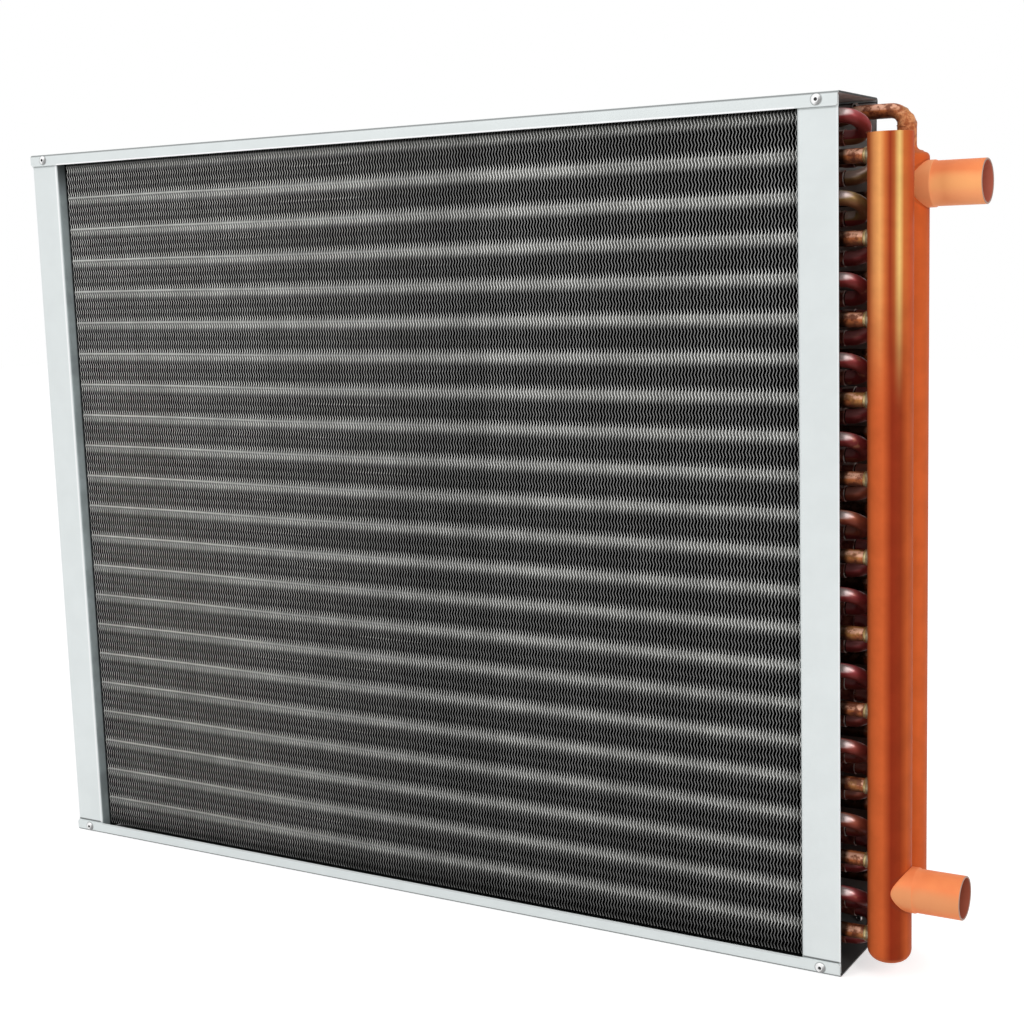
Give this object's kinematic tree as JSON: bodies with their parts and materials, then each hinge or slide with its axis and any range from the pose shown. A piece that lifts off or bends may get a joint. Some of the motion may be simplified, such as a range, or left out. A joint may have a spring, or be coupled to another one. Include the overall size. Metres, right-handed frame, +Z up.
{
  "type": "water to air heat exchanger",
  "caption": "Rectangular finned copper tube coil in a folded steel casing, with upright headers and open water ports at one side.",
  "frame": {"origin": "on the underside of the casing, in the middle of its width and depth", "axes": "+X along the tubes to the headers, -Y to the front face, +Z up"},
  "size_m": [0.7673, 0.0794, 0.574],
  "materials": {
    "galvanised_steel": "satin",
    "fin_aluminium": "satin",
    "tube_copper": "polished",
    "header_copper": "satin",
    "port_copper": "satin",
    "rivet_aluminium": "satin"
  },
  "bodies": {
    "root": {"bottom_plate": "galvanised_steel", "top_plate": "galvanised_steel", "left_tube_sheet": "galvanised_steel", "right_tube_sheet": "galvanised_steel", "fin_pack": "fin_aluminium", "hairpin_front_01": "tube_copper", "hairpin_front_02": "tube_copper", "hairpin_front_03": "tube_copper", "hairpin_front_04": "tube_copper", "hairpin_front_05": "tube_copper", "hairpin_front_06": "tube_copper", "hairpin_front_07": "tube_copper", "hairpin_front_08": "tube_copper", "hairpin_front_09": "tube_copper", "hairpin_front_10": "tube_copper", "hairpin_front_11": "tube_copper", "hairpin_middle_01": "tube_copper", "hairpin_middle_02": "tube_copper", "hairpin_middle_03": "tube_copper", "hairpin_middle_04": "tube_copper", "hairpin_middle_05": "tube_copper", "hairpin_middle_06": "tube_copper", "hairpin_middle_07": "tube_copper", "hairpin_middle_08": "tube_copper", "hairpin_middle_09": "tube_copper", "hairpin_middle_10": "tube_copper", "hairpin_middle_11": "tube_copper", "hairpin_rear_01": "tube_copper", "hairpin_rear_02": "tube_copper", "hairpin_rear_03": "tube_copper", "hairpin_rear_04": "tube_copper", "hairpin_rear_05": "tube_copper", "hairpin_rear_06": "tube_copper", "hairpin_rear_07": "tube_copper", "hairpin_rear_08": "tube_copper", "hairpin_rear_09": "tube_copper", "hairpin_rear_10": "tube_copper", "hairpin_rear_11": "tube_copper", "feed_tube": "tube_copper", "front_header": "header_copper", "rear_header": "header_copper", "front_header_plug": "header_copper", "lower_port": "port_copper", "upper_port": "port_copper", "rivet_front_1": "rivet_aluminium", "rivet_front_2": "rivet_aluminium", "rivet_front_3": "rivet_aluminium", "rivet_front_4": "rivet_aluminium", "rivet_rear_1": "rivet_aluminium", "rivet_rear_2": "rivet_aluminium", "rivet_rear_3": "rivet_aluminium", "rivet_rear_4": "rivet_aluminium"}
  },
  "joints": []
}
